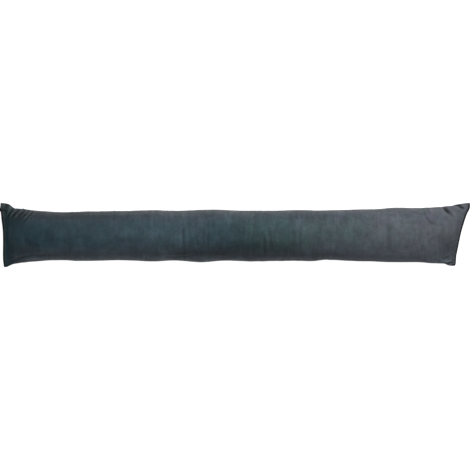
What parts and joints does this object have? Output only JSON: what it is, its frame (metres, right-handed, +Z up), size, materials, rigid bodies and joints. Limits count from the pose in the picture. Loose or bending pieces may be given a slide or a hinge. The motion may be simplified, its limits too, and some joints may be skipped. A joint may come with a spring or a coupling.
{
  "type": "draught excluder",
  "caption": "Long filled velvet cushion with flat-sewn ends and ears at its corners, which lies along the foot of a door to stop draughts.",
  "frame": {"origin": "on the floor, under the middle of the cushion's box", "axes": "+X along the cushion, towards the right-hand end in the picture; +Y across it, up in the picture; +Z up from the floor through its crown"},
  "size_m": [0.9, 0.1224, 0.0743],
  "materials": {
    "velvet": "short-pile velvet, dark slate blue-grey"
  },
  "bodies": {
    "root": {"filled_cover": "velvet"}
  },
  "joints": []
}
